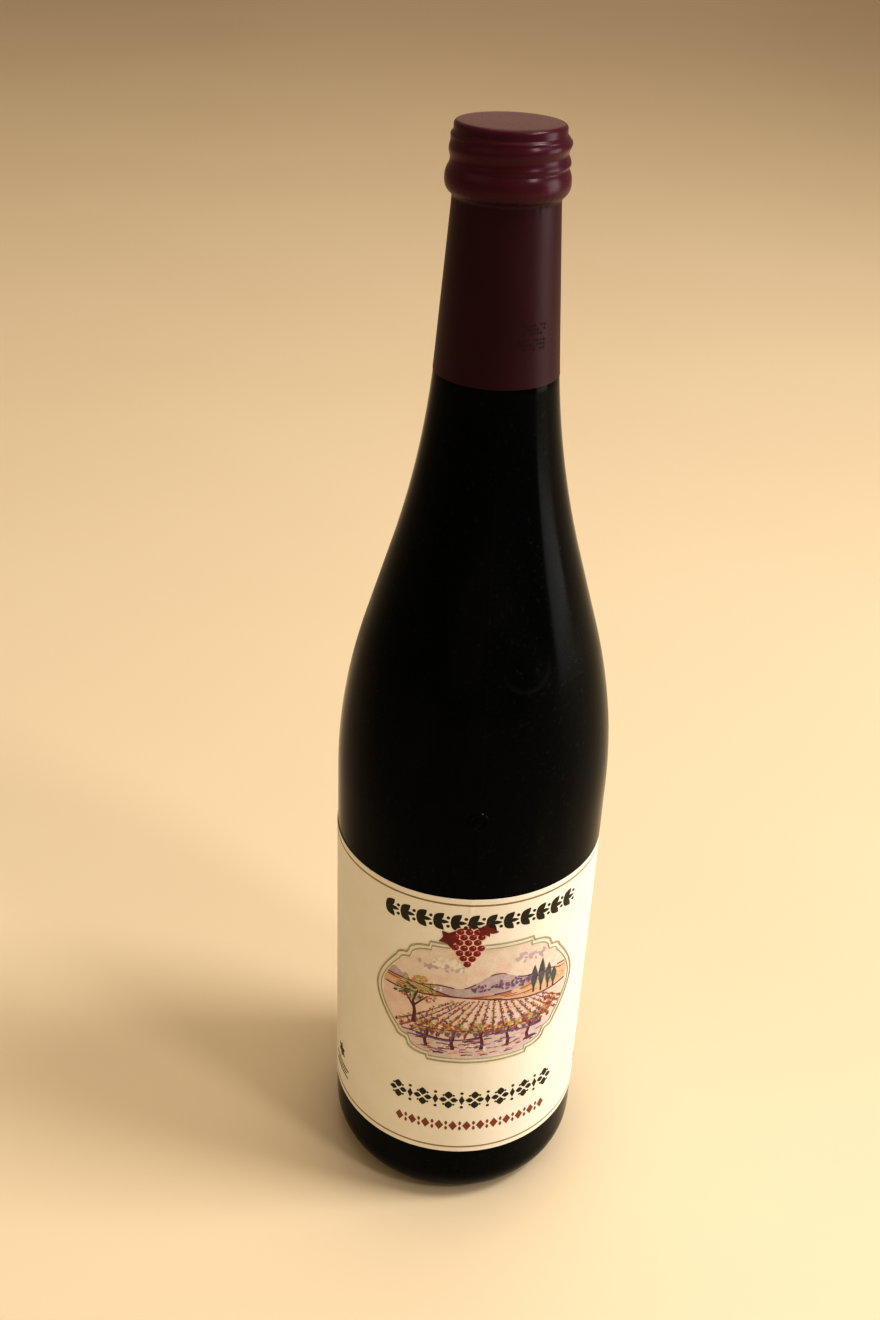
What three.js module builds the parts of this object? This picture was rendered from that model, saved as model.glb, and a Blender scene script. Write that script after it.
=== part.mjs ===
// A slender wine bottle of near-black glass, shut, with a paper label wrapped round its body and a
// plastic capsule shrunk over its screw closure. Millimetres, +Z up. The origin is the centre of the
// ring on which the bottle stands, and the middle of the label faces -Y.

import * as THREE from "three";

const { degToRad, smoothstep } = THREE.MathUtils;

// Faces round each turned piece, and the air left between two pieces that touch
const SIDES = 60;
const GAP = 0.3;

// Glass: base, heel and straight body
const BODY_RADIUS = 38.5;
const HEEL_INSET = 9;
const HEEL_HEIGHT = 12;
const BEARING_WIDTH = 3;
const PUNT_DEPTH = 5;

// Glass: the wall leaves the cylinder on an outward arc, runs straight at its steepest lean, and turns
// into the neck on a hollow arc
const SHOULDER_START = 140;
const SHOULDER_ARC = 165;
const STEEPEST_LEAN = degToRad(16.6);
const THROAT_START = 210;
const THROAT_ARC = 246;
const NECK_LEAN = degToRad(4);
const MOUTH_HEIGHT = 313.7;
const MOUTH_ROUND = 1;

// Capsule: a thin skirt on the neck, a round bead, a barrel with a screw thread showing through, which
// stands fullest on one side, and a slimmer rim round the flat top
const CAPSULE_BOTTOM = 258.3;
const CAPSULE_WALL = 0.35;
const NECK_SLIMS_FROM = 250;
const NECK_SLIMS_TO = 270;
const BEAD_MIDDLE = 303.2;
const BEAD_BELOW = 3;
const BEAD_ABOVE = 3.9;
const BEAD_DEPTH = 2.2;
const BEAD_RADIUS = 14.65;
const BARREL_RADIUS = 13.5;
const BARREL_TOP = 313.2;
const RIM_RADIUS = 12.95;
const RIM_BOTTOM = 313.9;
const RIM_ROUND = 0.7;
const CLOSURE_TOP = 316;
const THREAD_PITCH = 4.3;
const THREAD_HEIGHT = 0.68;
const THREAD_LEAST = 0.5;
const THREAD_FULL_SIDE = degToRad(80);
const THREAD_CREST = 311;
const THREAD_FROM = 306.2;
const THREAD_TO = 313.4;
const THREAD_RUN_OUT = 1.2;
const THREAD_ROW = 0.55;

// Label: a printed sheet of paper, stuck on a shade off level
const LABEL_WIDTH = 236;
const LABEL_HEIGHT = 100;
const LABEL_MIDDLE = 72.5;
const LABEL_THICKNESS = 0.25;
const LABEL_SLANT = degToRad(0.6);

const TURN = 2 * Math.PI;

// Points on an ellipse round (middleX, middleY), from angle a to angle b, both ends included
function ellipseArc(middleX, middleY, radiusX, radiusY, a, b, steps) {
  const points = [];
  for (let i = 0; i <= steps; i++) {
    const t = a + ((b - a) * i) / steps;
    points.push(new THREE.Vector2(middleX + radiusX * Math.cos(t), middleY + radiusY * Math.sin(t)));
  }
  return points;
}

// Evenly spaced numbers from a to b, both included
function spaced(a, b, steps) {
  return Array.from({ length: steps + 1 }, (_, i) => a + ((b - a) * i) / steps);
}

// Outer radius of the bare wall at a height, from the body to the mouth
const SHOULDER_END = SHOULDER_START + SHOULDER_ARC * Math.sin(STEEPEST_LEAN);
const SHOULDER_END_RADIUS = BODY_RADIUS - SHOULDER_ARC * (1 - Math.cos(STEEPEST_LEAN));
const THROAT_START_RADIUS = SHOULDER_END_RADIUS - (THROAT_START - SHOULDER_END) * Math.tan(STEEPEST_LEAN);
const THROAT_END = THROAT_START + THROAT_ARC * (Math.sin(STEEPEST_LEAN) - Math.sin(NECK_LEAN));
const THROAT_END_RADIUS = THROAT_START_RADIUS - THROAT_ARC * (Math.cos(NECK_LEAN) - Math.cos(STEEPEST_LEAN));

function wallRadius(height) {
  if (height <= SHOULDER_START) return BODY_RADIUS;
  if (height <= SHOULDER_END) {
    const rise = (height - SHOULDER_START) / SHOULDER_ARC;
    return BODY_RADIUS - SHOULDER_ARC * (1 - Math.sqrt(1 - rise * rise));
  }
  if (height <= THROAT_START) {
    return SHOULDER_END_RADIUS - (height - SHOULDER_END) * Math.tan(STEEPEST_LEAN);
  }
  if (height <= THROAT_END) {
    const sine = Math.sin(STEEPEST_LEAN) - (height - THROAT_START) / THROAT_ARC;
    return THROAT_START_RADIUS - THROAT_ARC * (Math.sqrt(1 - sine * sine) - Math.cos(STEEPEST_LEAN));
  }
  return THROAT_END_RADIUS - (height - THROAT_END) * Math.tan(NECK_LEAN);
}

// The neck slims under the capsule, so that the capsule's outside carries on the line of the wall
function glassRadius(height) {
  const slimmed = smoothstep(height, NECK_SLIMS_FROM, NECK_SLIMS_TO);
  return wallRadius(height) - (GAP + CAPSULE_WALL) * slimmed;
}

// A solid turned round Z from a profile of (radius, height) points that starts and ends on the axis,
// its angle counted from -Y towards +X
function turned(profile) {
  return new THREE.LatheGeometry(profile, SIDES).rotateX(Math.PI / 2);
}

function piece(name, geometry, colour, roughness) {
  const material = new THREE.MeshStandardMaterial({ color: colour, roughness, metalness: 0 });
  const mesh = new THREE.Mesh(geometry, material);
  mesh.name = name;
  return mesh;
}

// Glass bottle, filled and shut: hollowed base, bearing ring, heel, body, shoulder, throat and neck
function makeBottle() {
  const bearingOutside = BODY_RADIUS - HEEL_INSET;
  const bearingInside = bearingOutside - BEARING_WIDTH;
  const punt = spaced(0, bearingInside, 5).map(
    (r) => new THREE.Vector2(r, PUNT_DEPTH * (1 - (r / bearingInside) ** 2)),
  );
  const heel = ellipseArc(bearingOutside, HEEL_HEIGHT, HEEL_INSET, HEEL_HEIGHT, -Math.PI / 2, 0, 7);
  const heights = [
    ...spaced(SHOULDER_START, SHOULDER_END, 9),
    ...spaced(THROAT_START, THROAT_END, 10),
    ...spaced(NECK_SLIMS_TO, MOUTH_HEIGHT - MOUTH_ROUND, 1),
  ];
  const wall = heights.map((z) => new THREE.Vector2(glassRadius(z), z));
  const mouth = new THREE.Vector2(glassRadius(MOUTH_HEIGHT) - MOUTH_ROUND, MOUTH_HEIGHT);
  const profile = [...punt, ...heel, ...wall, mouth, new THREE.Vector2(0, MOUTH_HEIGHT)];
  return piece("bottle", turned(profile), 0x0b0b09, 0.12);
}

// Paper label: an open ring that stops short of meeting itself at the back
function makeLabel() {
  const inside = BODY_RADIUS + GAP;
  const outside = inside + LABEL_THICKNESS;
  const halfAngle = LABEL_WIDTH / 2 / outside;
  const from = -Math.PI / 2 - halfAngle;
  const to = -Math.PI / 2 + halfAngle;
  const section = new THREE.Shape();
  section.absarc(0, 0, outside, from, to, false);
  section.absarc(0, 0, inside, to, from, true);
  section.closePath();
  const sheet = new THREE.ExtrudeGeometry(section, {
    depth: LABEL_HEIGHT,
    bevelEnabled: false,
    curveSegments: SIDES / 2,
  });
  const place = sheet.attributes.position;
  for (let i = 0; i < place.count; i++) {
    const angle = Math.atan2(place.getX(i), -place.getY(i));
    const level = LABEL_MIDDLE - LABEL_HEIGHT / 2 + outside * angle * Math.tan(LABEL_SLANT);
    place.setZ(i, place.getZ(i) + level);
  }
  return piece("label", sheet, 0xefe6c8, 0.6);
}

// A wave that runs from low to high and back as its phase turns once
function wave(low, high, phase) {
  return low + (high - low) * (0.5 + 0.5 * Math.cos(phase));
}

// Height of the thread that shows through the capsule: a right-hand helix, run out at both ends
function threadRise(angle, height) {
  const turns = (height - THREAD_CREST) / THREAD_PITCH - angle / TURN;
  const fadeIn = smoothstep(height, THREAD_FROM, THREAD_FROM + THREAD_RUN_OUT);
  const fadeOut = 1 - smoothstep(height, THREAD_TO - THREAD_RUN_OUT, THREAD_TO);
  const fullness = wave(THREAD_LEAST, 1, angle - THREAD_FULL_SIDE);
  return wave(0, THREAD_HEIGHT, TURN * turns) * fullness * fadeIn * fadeOut;
}

// Capsule with the closure inside it: skirt, bead, threaded closure and flat top, over a bore for the neck
function makeCapsule() {
  const outerRadius = (z) => glassRadius(z) + GAP + CAPSULE_WALL;
  const beadCore = BEAD_RADIUS - BEAD_DEPTH;
  const beadTopAngle = Math.acos((BARREL_RADIUS - beadCore) / BEAD_DEPTH);
  const beadUnderside = ellipseArc(beadCore, BEAD_MIDDLE, BEAD_DEPTH, BEAD_BELOW, -Math.PI / 2, 0, 5);
  const beadTopside = ellipseArc(beadCore, BEAD_MIDDLE, BEAD_DEPTH, BEAD_ABOVE, 0, beadTopAngle, 5).slice(1);
  const beadTop = beadTopside[beadTopside.length - 1].y;
  const rows = Math.round((BARREL_TOP - beadTop) / THREAD_ROW);
  const barrel = spaced(beadTop, BARREL_TOP, rows).slice(1).map((z) => new THREE.Vector2(BARREL_RADIUS, z));
  const rimCore = RIM_RADIUS - RIM_ROUND;
  const rim = ellipseArc(rimCore, CLOSURE_TOP - RIM_ROUND, RIM_ROUND, RIM_ROUND, 0, Math.PI / 2, 3);
  const skirtTop = BEAD_MIDDLE - BEAD_BELOW;
  const skirtHeights = [...spaced(CAPSULE_BOTTOM, NECK_SLIMS_TO, 3), skirtTop];
  const skirt = skirtHeights.map((z) => new THREE.Vector2(outerRadius(z), z));
  const ceiling = MOUTH_HEIGHT + GAP;
  const boreHeights = [ceiling, ...spaced(NECK_SLIMS_TO, CAPSULE_BOTTOM, 3)];
  const bore = boreHeights.map((z) => new THREE.Vector2(glassRadius(z) + GAP, z));
  const profile = [
    new THREE.Vector2(0, ceiling),
    ...bore,
    ...skirt,
    ...beadUnderside,
    ...beadTopside,
    ...barrel,
    new THREE.Vector2(RIM_RADIUS, RIM_BOTTOM),
    ...rim,
    new THREE.Vector2(0, CLOSURE_TOP),
  ];
  const geometry = turned(profile);
  const place = geometry.attributes.position;
  for (let i = 0; i < place.count; i++) {
    const x = place.getX(i);
    const y = place.getY(i);
    const radius = Math.hypot(x, y);
    if (radius < (RIM_RADIUS + BARREL_RADIUS) / 2) continue;
    const swell = 1 + threadRise(Math.atan2(x, -y), place.getZ(i)) / radius;
    place.setX(i, x * swell);
    place.setY(i, y * swell);
  }
  return piece("capsule", geometry, 0x4a1f26, 0.42);
}

const bottle = new THREE.Group();
bottle.add(makeBottle(), makeLabel(), makeCapsule());

export default bottle;
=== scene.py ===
import random
from math import cos, exp, hypot, pi, radians, sin, sqrt, tan, tau

import bmesh
import bpy
from mathutils import Matrix, Vector
from mathutils.geometry import interpolate_bezier


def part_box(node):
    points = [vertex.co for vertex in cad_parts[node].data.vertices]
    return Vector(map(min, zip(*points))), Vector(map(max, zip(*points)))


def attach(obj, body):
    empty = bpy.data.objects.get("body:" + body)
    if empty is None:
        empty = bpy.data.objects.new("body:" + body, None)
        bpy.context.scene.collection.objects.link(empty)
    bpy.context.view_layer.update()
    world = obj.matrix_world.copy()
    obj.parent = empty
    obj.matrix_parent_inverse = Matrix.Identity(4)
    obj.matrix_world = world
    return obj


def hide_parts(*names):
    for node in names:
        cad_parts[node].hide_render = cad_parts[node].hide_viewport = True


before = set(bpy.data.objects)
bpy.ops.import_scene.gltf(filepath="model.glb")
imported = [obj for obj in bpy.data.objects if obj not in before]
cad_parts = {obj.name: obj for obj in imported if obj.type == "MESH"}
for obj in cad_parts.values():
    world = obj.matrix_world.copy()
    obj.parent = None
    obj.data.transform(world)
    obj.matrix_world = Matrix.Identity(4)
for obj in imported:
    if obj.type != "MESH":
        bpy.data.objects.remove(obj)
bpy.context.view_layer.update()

# The stage: a plain pale floor under soft light. A softbox high on the right models the label, a small
# lamp under it picks out the closure's ridges, and a tall panel draws the long highlight down the glass;
# the rest fills in. The camera looks down from just above the bottle, a little left of the label's middle.
MM = 0.001
CAMERA_AZIMUTH = radians(-10)
CAMERA_REACH = 0.333
CAMERA_HEIGHT = 0.3715
CAMERA_PITCH = radians(30.6)
CAMERA_YAW = radians(-1.82)
CAMERA_ROLL = radians(2.58)
PHOTO_HEIGHT = 1320
FOCAL_PIXELS = 1402
SENSOR = 36
FLOOR_RADIUS = 6
FLOOR_SIDES = 96
LIGHT_AIM = Vector((0, 0, 0.16))
SHARP_EDGE = radians(35)


class Nodes:
    """A node tree under construction: add() makes any node, and sums on what it returns make Math nodes."""

    def __init__(self, tree):
        self.tree = tree

    def add(self, kind, settings=None, sockets=None, out=0):
        node = self.tree.nodes.new(kind)
        for name, value in (settings or {}).items():
            setattr(node, name, value)
        for name, value in (sockets or {}).items():
            self.feed(node.inputs[name], value)
        return Flow(self, node.outputs[out], node)

    def feed(self, socket, value):
        if isinstance(value, Flow):
            self.tree.links.new(value.socket, socket)
        else:
            socket.default_value = value

    def math(self, operation, first, second=0.0):
        return self.add("ShaderNodeMath", {"operation": operation}, {0: first, 1: second})

    def vector_math(self, operation, first, second, out=0):
        return self.add("ShaderNodeVectorMath", {"operation": operation}, {0: first, 1: second}, out)

    def along(self, place):
        """The X, Y and Z of a place"""
        parts = self.add("ShaderNodeSeparateXYZ", {}, {"Vector": place})
        return [Flow(self, parts.node.outputs[axis], parts.node) for axis in "XYZ"]


class Flow:
    """What comes out of a node: numbers add, subtract, multiply, divide and rise to powers."""

    def __init__(self, nodes, socket, node):
        self.nodes, self.socket, self.node = nodes, socket, node

    def __add__(self, other):
        return self.nodes.math("ADD", self, other)

    def __sub__(self, other):
        return self.nodes.math("SUBTRACT", self, other)

    def __rsub__(self, other):
        return self.nodes.math("SUBTRACT", other, self)

    def __mul__(self, other):
        return self.nodes.math("MULTIPLY", self, other)

    def __truediv__(self, other):
        return self.nodes.math("DIVIDE", self, other)

    def __pow__(self, other):
        return self.nodes.math("POWER", self, other)

    __radd__ = __add__
    __rmul__ = __mul__


class Finish(Nodes):
    """A material whose detail comes from nodes on Object coordinates."""

    def __init__(self, name, **constants):
        self.material = bpy.data.materials.new(name)
        self.material.use_nodes = True
        super().__init__(self.material.node_tree)
        self.shader = self.tree.nodes["Principled BSDF"]
        for socket, value in constants.items():
            self.shader.inputs[socket.replace("_", " ")].default_value = value
        self.place = self.add("ShaderNodeTexCoord", out="Object")

    def noise(self, scale, detail=3.0, stretch=(1, 1, 1), shift=(0, 0, 0)):
        sockets = {"Vector": self.place, "Scale": stretch, "Location": shift}
        where = self.add("ShaderNodeMapping", {}, sockets)
        return self.add("ShaderNodeTexNoise", {}, {"Vector": where, "Scale": scale, "Detail": detail})

    def between(self, amount, low, high):
        """amount is 0 below low and 1 above high"""
        return self.add("ShaderNodeMapRange", {}, {"Value": amount, "From Min": low, "From Max": high})

    def blend(self, amount, first, second):
        colours = {0: amount, 6: (*first, 1) if isinstance(first, tuple) else first}
        colours[7] = (*second, 1) if isinstance(second, tuple) else second
        return self.add("ShaderNodeMix", {"data_type": "RGBA"}, colours, out=2)

    def bump(self, height, distance, strength, under=None):
        sockets = {"Height": height, "Distance": distance, "Strength": strength}
        if under is not None:
            sockets["Normal"] = under
        return self.add("ShaderNodeBump", {}, sockets)

    def wear(self, **sockets):
        for name, value in sockets.items():
            self.feed(self.shader.inputs[name.replace("_", " ")], value)


def new_object(name, data):
    made = bpy.data.objects.new(name, data)
    bpy.context.scene.collection.objects.link(made)
    return made


def round_axis(radius, azimuth, height):
    """A place beside the axis; azimuth is counted from -Y towards +X"""
    return radius * sin(azimuth), -radius * cos(azimuth), height


def softbox(name, azimuth, elevation, distance, width, height, power, colour):
    """An area light that faces the bottle; azimuth is counted from the camera, to the right"""
    light = bpy.data.lights.new(name, "AREA")
    light.shape, light.size, light.size_y = "RECTANGLE", width, height
    light.energy, light.color = power, colour
    lamp = new_object(name, light)
    rise = radians(elevation)
    away = Vector(round_axis(cos(rise), CAMERA_AZIMUTH + radians(azimuth), sin(rise)))
    lamp.location = LIGHT_AIM + away * distance
    lamp.rotation_euler = away.to_track_quat("Z", "Y").to_euler()
    lamp.visible_camera = False


def new_piece(name, mesh, material):
    """An object at the origin, smooth but for its sharp edges"""
    mesh.materials.clear()
    mesh.materials.append(material)
    mesh.shade_smooth()
    mesh.set_sharp_from_angle(angle=SHARP_EDGE)
    return new_object(name, mesh)


softbox("key_softbox", 86, 54, 1.5, 0.4, 0.4, 9.4, (1.0, 0.96, 0.91))
softbox("small_lamp", 54, 40, 1.5, 0.2, 0.12, 3.2, (1.0, 0.96, 0.92))
softbox("side_panel", 91, 8, 1.6, 0.75, 1.0, 8.6, (1.0, 0.97, 0.96))
softbox("ceiling_panel", 30, 66, 2.4, 1.8, 1.8, 2.2, (1.0, 0.92, 0.84))
softbox("far_panel", 165, 72, 2.6, 2.0, 2.0, 14, (1.0, 0.93, 0.8))
softbox("warm_fill", -60, 35, 2.0, 1.6, 1.2, 2.2, (1.0, 0.84, 0.6))
softbox("back_panel", 180, 10, 5.5, 2.0, 1.4, 2.4, (1.0, 0.70, 0.56))

world = bpy.data.worlds.new("room")
world.use_nodes = True
background = world.node_tree.nodes["Background"]
background.inputs["Color"].default_value = (1.0, 0.79, 0.56, 1)
background.inputs["Strength"].default_value = 0.27
bpy.context.scene.world = world
bpy.context.scene.view_settings.view_transform = "Standard"
bpy.context.scene.view_settings.look = "High Contrast"

floor_finish = Finish("pale_floor")
floor_cloud = floor_finish.noise(3.0)
floor_finish.wear(
    Base_Color=floor_finish.blend(floor_cloud, (0.78, 0.65, 0.47), (0.83, 0.71, 0.53)),
    Roughness=floor_cloud * 0.1 + 0.5,
)
floor_disc = bmesh.new()
bmesh.ops.create_circle(floor_disc, cap_ends=True, segments=FLOOR_SIDES, radius=FLOOR_RADIUS)
floor_mesh = bpy.data.meshes.new("floor")
floor_disc.to_mesh(floor_mesh)
floor = new_piece("floor", floor_mesh, floor_finish.material)

camera_data = bpy.data.cameras.new("camera")
camera_data.sensor_width = SENSOR
camera_data.lens = SENSOR * FOCAL_PIXELS / PHOTO_HEIGHT
camera_data.clip_start = 0.01
camera = new_object("camera", camera_data)
heading = Matrix.Rotation(CAMERA_AZIMUTH - CAMERA_YAW, 4, "Z")
tilt = Matrix.Rotation(pi / 2 - CAMERA_PITCH, 4, "X") @ Matrix.Rotation(CAMERA_ROLL, 4, "Z")
stand = Vector((sin(CAMERA_AZIMUTH), -cos(CAMERA_AZIMUTH), 0)) * CAMERA_REACH
camera.matrix_world = Matrix.Translation(stand + Vector((0, 0, CAMERA_HEIGHT))) @ heading @ tilt
bpy.context.scene.camera = camera

# The bottle: near-black glass blown in a two-part mould, which leaves a fine seam down each side. Its
# straight body leans in on an outward arc, runs straight, and turns into the neck on a hollow arc. It
# stands on a ring of short moulded bars round a shallow hollow.
GLASS_SIDES = 180
BODY_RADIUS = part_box("bottle")[1].x
HEEL_INSET = 9 * MM
HEEL_HEIGHT = 12 * MM
BEARING_WIDTH = 3 * MM
BAR_HEIGHT = 0.25 * MM
BAR_LONG = 2.4 * MM
BAR_WIDE = 0.9 * MM
PUNT_DEPTH = 5 * MM
SHOULDER_START = 140 * MM
SHOULDER_ARC = 165 * MM
STEEPEST_LEAN = radians(16.6)
THROAT_START = 210 * MM
THROAT_ARC = 246 * MM
NECK_LEAN = radians(4)
MOUTH_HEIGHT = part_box("bottle")[1].z
MOUTH_ROUND = 1 * MM
NECK_STEP = 2 * MM
UNDER_CAPSULE = 0.2 * MM
CAPSULE_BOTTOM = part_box("capsule")[0].z
SEAM_AZIMUTH = radians(-6)
SEAM_RISE = 0.12 * MM
SEAM_WIDTH = 0.45 * MM
SEAM_FROM, SEAM_TO = 13 * MM, 256 * MM
MARK_HEIGHT = 148.5 * MM
MARK_RADIUS = 2.3 * MM
MARK_RISE = 0.7
MARK_SIDES = 40
MARK_SECTION_SIDES = 8
DRIED_DROP_AZIMUTH = radians(14)
DRIED_DROP_HEIGHT = 190 * MM
DRIED_DROP_RADIUS = 6.2 * MM
DRIED_DROP_FADED = 192 * MM
BARS = 96

SHOULDER_END = SHOULDER_START + SHOULDER_ARC * sin(STEEPEST_LEAN)
SHOULDER_END_RADIUS = BODY_RADIUS - SHOULDER_ARC * (1 - cos(STEEPEST_LEAN))
THROAT_START_RADIUS = SHOULDER_END_RADIUS - (THROAT_START - SHOULDER_END) * tan(STEEPEST_LEAN)
THROAT_END = THROAT_START + THROAT_ARC * (sin(STEEPEST_LEAN) - sin(NECK_LEAN))
THROAT_END_RADIUS = THROAT_START_RADIUS - THROAT_ARC * (cos(NECK_LEAN) - cos(STEEPEST_LEAN))


def wall_radius(height):
    """Outer radius of the wall, from the body to the mouth"""
    if height <= SHOULDER_START:
        return BODY_RADIUS
    if height <= SHOULDER_END:
        return BODY_RADIUS - SHOULDER_ARC + sqrt(SHOULDER_ARC**2 - (height - SHOULDER_START) ** 2)
    if height <= THROAT_START:
        return SHOULDER_END_RADIUS - (height - SHOULDER_END) * tan(STEEPEST_LEAN)
    if height <= THROAT_END:
        sine = sin(STEEPEST_LEAN) - (height - THROAT_START) / THROAT_ARC
        return THROAT_START_RADIUS - THROAT_ARC * (sqrt(1 - sine * sine) - cos(STEEPEST_LEAN))
    return THROAT_END_RADIUS - (height - THROAT_END) * tan(NECK_LEAN)


def spaced(first, last, steps):
    return [first + (last - first) * i / steps for i in range(steps + 1)]


def ellipse_arc(middle_x, middle_y, radius_x, radius_y, first, last, steps):
    return [
        (middle_x + radius_x * cos(t), middle_y + radius_y * sin(t))
        for t in spaced(first, last, steps)
    ]


def new_mesh(name, vertices, faces):
    mesh = bpy.data.meshes.new(name)
    mesh.from_pydata(vertices, [], faces)
    return mesh


def outward_mesh(name, vertices, faces):
    """A closed mesh whose faces all look outwards"""
    mesh = new_mesh(name, vertices, faces)
    shape = bmesh.new()
    shape.from_mesh(mesh)
    bmesh.ops.recalc_face_normals(shape, faces=shape.faces)
    shape.to_mesh(mesh)
    return mesh


def turned(name, profile, azimuths, rise):
    """A closed mesh turned round Z from (radius, height) points that start and end on the axis"""
    vertices = [(0, 0, profile[0][1]), (0, 0, profile[-1][1])]
    faces = []
    inner = profile[1:-1]
    for radius, height in inner:
        for azimuth in azimuths:
            vertices.append(round_axis(radius + rise(azimuth, height), azimuth, height))
    count = len(azimuths)
    for j in range(count):
        k = (j + 1) % count
        faces.append((0, 2 + k, 2 + j))
        last_row = 2 + (len(inner) - 1) * count
        faces.append((1, last_row + j, last_row + k))
        for i in range(len(inner) - 1):
            row = 2 + i * count
            faces.append((row + j, row + k, row + count + k, row + count + j))
    return outward_mesh(name, vertices, faces)


def seam_distance(azimuth):
    """How far round the body an azimuth is from the nearer mould seam, in metres"""
    turn = (azimuth - SEAM_AZIMUTH) % pi
    return min(turn, pi - turn) * BODY_RADIUS


def seam_rise(azimuth, height):
    if not SEAM_FROM < height < SEAM_TO:
        return 0.0
    return SEAM_RISE * exp(-((seam_distance(azimuth) / SEAM_WIDTH) ** 2))


glass_finish = Finish("near_black_glass", IOR=1.5, Specular_IOR_Level=0.06)
handling = glass_finish.noise(38, 4, stretch=(1, 1, 0.45))
dust = glass_finish.noise(900, 2, shift=(3, 1, 2))
specks = glass_finish.between(dust, 0.60, 0.72)
smears = glass_finish.between(glass_finish.noise(60, 5, stretch=(1, 1, 0.3), shift=(6, 2, 0)), 0.5, 0.64)
blown = glass_finish.noise(26, 1, stretch=(1, 1, 0.3), shift=(0, 0, 5))
drop_middle = round_axis(wall_radius(DRIED_DROP_HEIGHT), DRIED_DROP_AZIMUTH, DRIED_DROP_HEIGHT)
from_drop = glass_finish.vector_math("DISTANCE", glass_finish.place, drop_middle, out="Value")
off_ring = glass_finish.math("ABSOLUTE", from_drop - DRIED_DROP_RADIUS)
upper_side = glass_finish.between(
    glass_finish.along(glass_finish.place)[2], DRIED_DROP_HEIGHT - DRIED_DROP_RADIUS, DRIED_DROP_FADED
)
dried_ring = (1 - glass_finish.between(off_ring, 0.1 * MM, 0.9 * MM)) * (1 - upper_side)
glass_finish.wear(
    Base_Color=glass_finish.blend(
        specks * handling + smears * 0.2 + dried_ring * 0.55,
        (0.0022, 0.0030, 0.0036),
        (0.0150, 0.0150, 0.0145),
    ),
    Roughness=handling * 0.16 + specks * 0.1 + smears * 0.14 + dried_ring * 0.15 + 0.06,
    Normal=glass_finish.bump(blown, 1.2 * MM, 0.12, under=glass_finish.bump(dust, 0.01 * MM, 0.15)),
)

seam_steps = [SEAM_WIDTH / BODY_RADIUS * step for step in (-2.4, -1.6, -0.8, 0, 0.8, 1.6, 2.4)]
glass_azimuths = [tau * i / GLASS_SIDES for i in range(GLASS_SIDES)]
glass_azimuths = [a for a in glass_azimuths if seam_distance(a) > 3 * SEAM_WIDTH]
glass_azimuths += [(SEAM_AZIMUTH + side + step) % tau for side in (0, pi) for step in seam_steps]
glass_azimuths.sort()

bearing_outside = BODY_RADIUS - HEEL_INSET
bearing_inside = bearing_outside - BEARING_WIDTH
glass_profile = [
    (r, BAR_HEIGHT + PUNT_DEPTH * (1 - (r / bearing_inside) ** 2)) for r in spaced(0, bearing_inside, 14)
]
glass_profile += [
    (x, BAR_HEIGHT + y * (HEEL_HEIGHT - BAR_HEIGHT))
    for x, y in ellipse_arc(bearing_outside, 1, HEEL_INSET, 1, -pi / 2, 0, 18)
]
wall_heights = spaced(SEAM_FROM, SHOULDER_START, 8) + spaced(SHOULDER_START, CAPSULE_BOTTOM, 60)[1:]
glass_profile += [(wall_radius(z), z) for z in wall_heights]
neck_from = CAPSULE_BOTTOM + MM
neck_heights = [neck_from, *spaced(neck_from + NECK_STEP, MOUTH_HEIGHT - MOUTH_ROUND, 12)]
glass_profile += [(wall_radius(z) - UNDER_CAPSULE, z) for z in neck_heights]
glass_profile += [(wall_radius(MOUTH_HEIGHT) - MOUTH_ROUND, MOUTH_HEIGHT), (0, MOUTH_HEIGHT)]
glass = new_piece("glass", turned("glass", glass_profile, glass_azimuths, seam_rise), glass_finish.material)
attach(glass, "root")
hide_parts("bottle")


def grown(name, base, tree, **sizes):
    """The plain mesh that a Geometry Nodes tree grows from a base mesh, with its named sizes set"""
    seed = new_object(name, base)
    modifier = seed.modifiers.new(name, "NODES")
    modifier.node_group = tree
    for item in tree.interface.items_tree:
        if item.in_out == "INPUT" and item.name in sizes:
            modifier[item.identifier] = sizes[item.name]
    bpy.context.view_layer.update()
    mesh = bpy.data.meshes.new_from_object(seed.evaluated_get(bpy.context.evaluated_depsgraph_get()))
    bpy.data.objects.remove(seed)
    return mesh


class Growth(Nodes):
    """A Geometry Nodes tree with named sizes, from a base mesh to realized and finished pieces"""

    def __init__(self, name, material, **sizes):
        super().__init__(bpy.data.node_groups.new(name, "GeometryNodeTree"))
        kinds = {int: "NodeSocketInt", float: "NodeSocketFloat"}
        self.tree.interface.new_socket("Base", in_out="INPUT", socket_type="NodeSocketGeometry")
        for size, kind in sizes.items():
            self.tree.interface.new_socket(size, in_out="INPUT", socket_type=kinds[kind])
        self.tree.interface.new_socket("Pieces", in_out="OUTPUT", socket_type="NodeSocketGeometry")
        self.inlet = self.tree.nodes.new("NodeGroupInput")
        self.material = material

    def given(self, name):
        return Flow(self, self.inlet.outputs[name], self.inlet)

    def scatter(self, points, **sockets):
        """The base mesh on every point"""
        copied = {"Points": points, "Instance": self.given("Base"), **sockets}
        self.finish(self.add("GeometryNodeInstanceOnPoints", {}, copied))

    def finish(self, geometry):
        """Ends the tree: its geometry is made real and given its material"""
        real = self.add("GeometryNodeRealizeInstances", {}, {"Geometry": geometry})
        finished = self.add("GeometryNodeSetMaterial", {}, {"Geometry": real, "Material": self.material})
        outlet = self.tree.nodes.new("NodeGroupOutput")
        self.feed(outlet.inputs[0], finished)


def box_mesh(name, low, high):
    shape = bmesh.new()
    bmesh.ops.create_cube(shape, size=1)
    for vertex in shape.verts:
        vertex.co = Vector([(a + b) / 2 + v * (b - a) for a, b, v in zip(low, high, vertex.co)])
    mesh = bpy.data.meshes.new(name)
    shape.to_mesh(mesh)
    return mesh


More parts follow.
